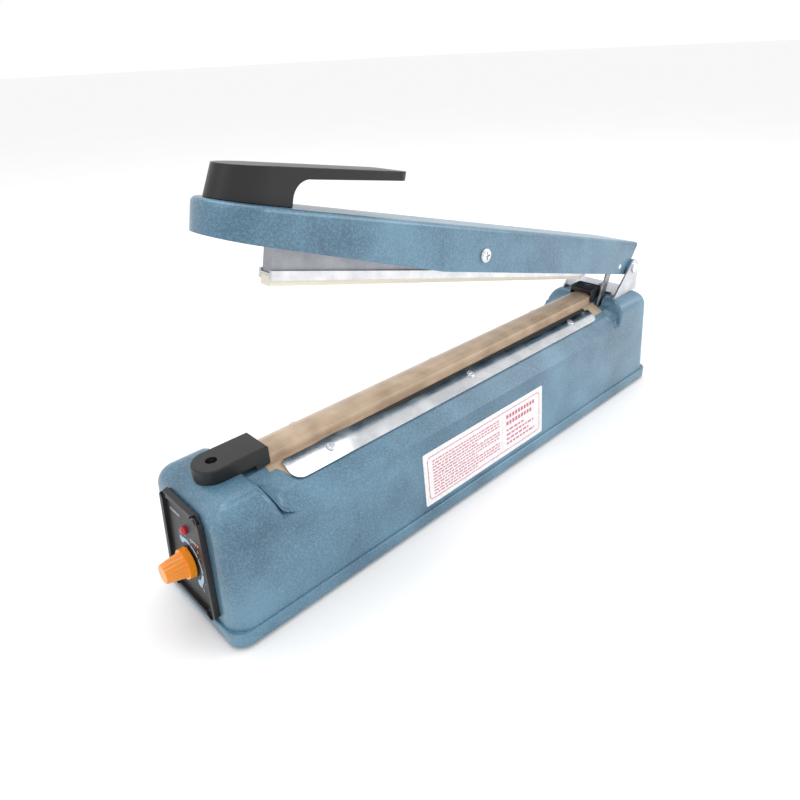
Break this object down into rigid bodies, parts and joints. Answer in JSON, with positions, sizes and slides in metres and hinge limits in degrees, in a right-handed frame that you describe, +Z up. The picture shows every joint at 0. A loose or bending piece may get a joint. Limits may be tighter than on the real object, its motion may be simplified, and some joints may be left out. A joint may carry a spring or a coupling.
{
  "type": "impulse heat sealer",
  "caption": "Hand-operated bench impulse heat sealer: sprung pressing arm over a cloth-covered heated bar, with a timer knob on the die-cast base.",
  "frame": {"origin": "on the table, under the middle of the overall length (knob nose to rear flange edge) and of the width", "axes": "+X from the control panel to the hinge, +Z up, +Y completes the right hand"},
  "size_m": [0.4494, 0.085, 0.236],
  "materials": {
    "hammertone_paint": "blue hammertone enamel on a die casting",
    "black_plastic": "satin black moulding",
    "panel_plastic": "black moulding with a fine grain",
    "zinc_sheet": "bright zinc-plated sheet",
    "satin_sheet": "satin sheet",
    "zinc_screws": "bright plated",
    "black_screws": "blackened",
    "polished_steel": "polished",
    "spring_steel": "drawn wire",
    "polished_strip": "mirror-bright stainless strip",
    "bright_aluminium": "bright drawn",
    "cream_silicone": "cream silicone rubber",
    "tan_cloth": "coated glass cloth",
    "black_backing": "black insulating cloth",
    "ribbon_alloy": "rolled resistance ribbon",
    "brass_terminals": "machined",
    "orange_plastic": "orange moulding",
    "red_lens": "clear red lens",
    "black_rubber": "black rubber",
    "board_laminate": "solder-masked laminate",
    "component_plastic": "moulded case",
    "component_metal": "pressed can",
    "core_laminations": "varnished steel laminations",
    "winding_wrap": "varnished wrap",
    "red_button": "moulded button",
    "paper_label": "printed film"
  },
  "bodies": {
    "base": {"base_casting": "hammertone_paint", "bottom_plate": "zinc_sheet", "bottom_plate_screws": "zinc_screws", "rubber_feet": "black_rubber", "control_panel": "panel_plastic", "panel_screws": "black_screws", "indicator_lamp": "red_lens", "lamp_holder": "panel_plastic", "timer_potentiometer": "component_metal", "potentiometer_nut": "zinc_screws", "timer_circuit_board": "board_laminate", "board_standoffs": "brass_terminals", "timing_capacitor": "component_plastic", "timer_relay": "component_plastic", "power_triac": "component_plastic", "transformer_core": "core_laminations", "transformer_winding": "winding_wrap", "transformer_frame": "zinc_sheet", "transformer_screws": "zinc_screws", "seal_bar": "bright_aluminium", "insulating_tape": "tan_cloth", "heating_ribbon": "ribbon_alloy", "release_cloth": "tan_cloth", "strip_backing_right": "black_backing", "strip_backing_left": "black_backing", "clamp_strip_right": "polished_strip", "clamp_strip_left": "polished_strip", "strip_screws": "zinc_screws", "front_cap": "black_plastic", "rear_cap": "black_plastic", "cap_screws": "zinc_screws", "ribbon_terminals": "brass_terminals", "hinge_bracket": "zinc_sheet", "bracket_screws": "zinc_screws", "hinge_pin": "polished_steel", "pin_clip": "polished_steel", "spring_post": "zinc_sheet", "return_spring": "spring_steel", "starting_switch": "component_plastic", "switch_bracket": "zinc_sheet", "switch_screws": "zinc_screws", "inlet_grommet": "black_rubber", "rating_label": "paper_label"},
    "timer_knob": {"timer_knob": "orange_plastic", "timer_shaft": "polished_steel"},
    "arm": {"arm_casting": "hammertone_paint", "handle": "black_plastic", "handle_screws": "zinc_screws", "pivot_screw": "zinc_screws", "pivot_nut": "zinc_screws", "pivot_spacers": "polished_steel", "link_pin": "polished_steel"},
    "press_bar": {"press_rail": "bright_aluminium", "press_web": "satin_sheet", "rail_rivets": "bright_aluminium", "silicone_strip": "cream_silicone"},
    "return_link": {"return_link": "zinc_sheet"},
    "switch_lever": {"switch_lever": "spring_steel"},
    "switch_plunger": {"switch_plunger": "red_button"}
  },
  "joints": [
    {"name": "arm_hinge", "type": "hinge", "parent": "base", "child": "arm", "pos_m": [0.20535, 0, 0.1042], "axis": [0, -1, 0], "range_deg": [0, 14.6], "stiffness_Nm_per_rad": 8, "springref_deg": -28.65, "deforming": ["return_spring"]},
    {"name": "press_bar_rock", "type": "hinge", "parent": "arm", "child": "press_bar", "pos_m": [0.009, 0, 0.15969], "axis": [0, 1, 0], "range_deg": [0, 0.816]},
    {"name": "link_swing", "type": "hinge", "parent": "arm", "child": "return_link", "pos_m": [0.18696, 0, 0.10899], "axis": [0, 1, 0], "range_deg": [0, 14.75]},
    {"name": "switch_lever_turn", "type": "hinge", "parent": "base", "child": "switch_lever", "pos_m": [0.13818, 0, 0.04664], "axis": [0, 1, 0], "range_deg": [0, 9.83]},
    {"name": "switch_plunger_press", "type": "slide", "parent": "base", "child": "switch_plunger", "axis": [0, 0, -1], "range_m": [0, 0.0009]},
    {"name": "timer_turn", "type": "hinge", "parent": "base", "child": "timer_knob", "pos_m": [-0.20744, 0, 0.03793], "axis": [-0.9973, 0, 0.0732], "range_deg": [-150, 150]}
  ],
  "couplings": [
    {"joint": "press_bar_rock", "follows": "arm_hinge", "ratio": 0.054795},
    {"joint": "link_swing", "follows": "arm_hinge", "ratio": 1},
    {"joint": "switch_lever_turn", "follows": "arm_hinge", "ratio": 0.66},
    {"joint": "switch_plunger_press", "follows": "arm_hinge", "m_per_rad": 0.003336}
  ]
}
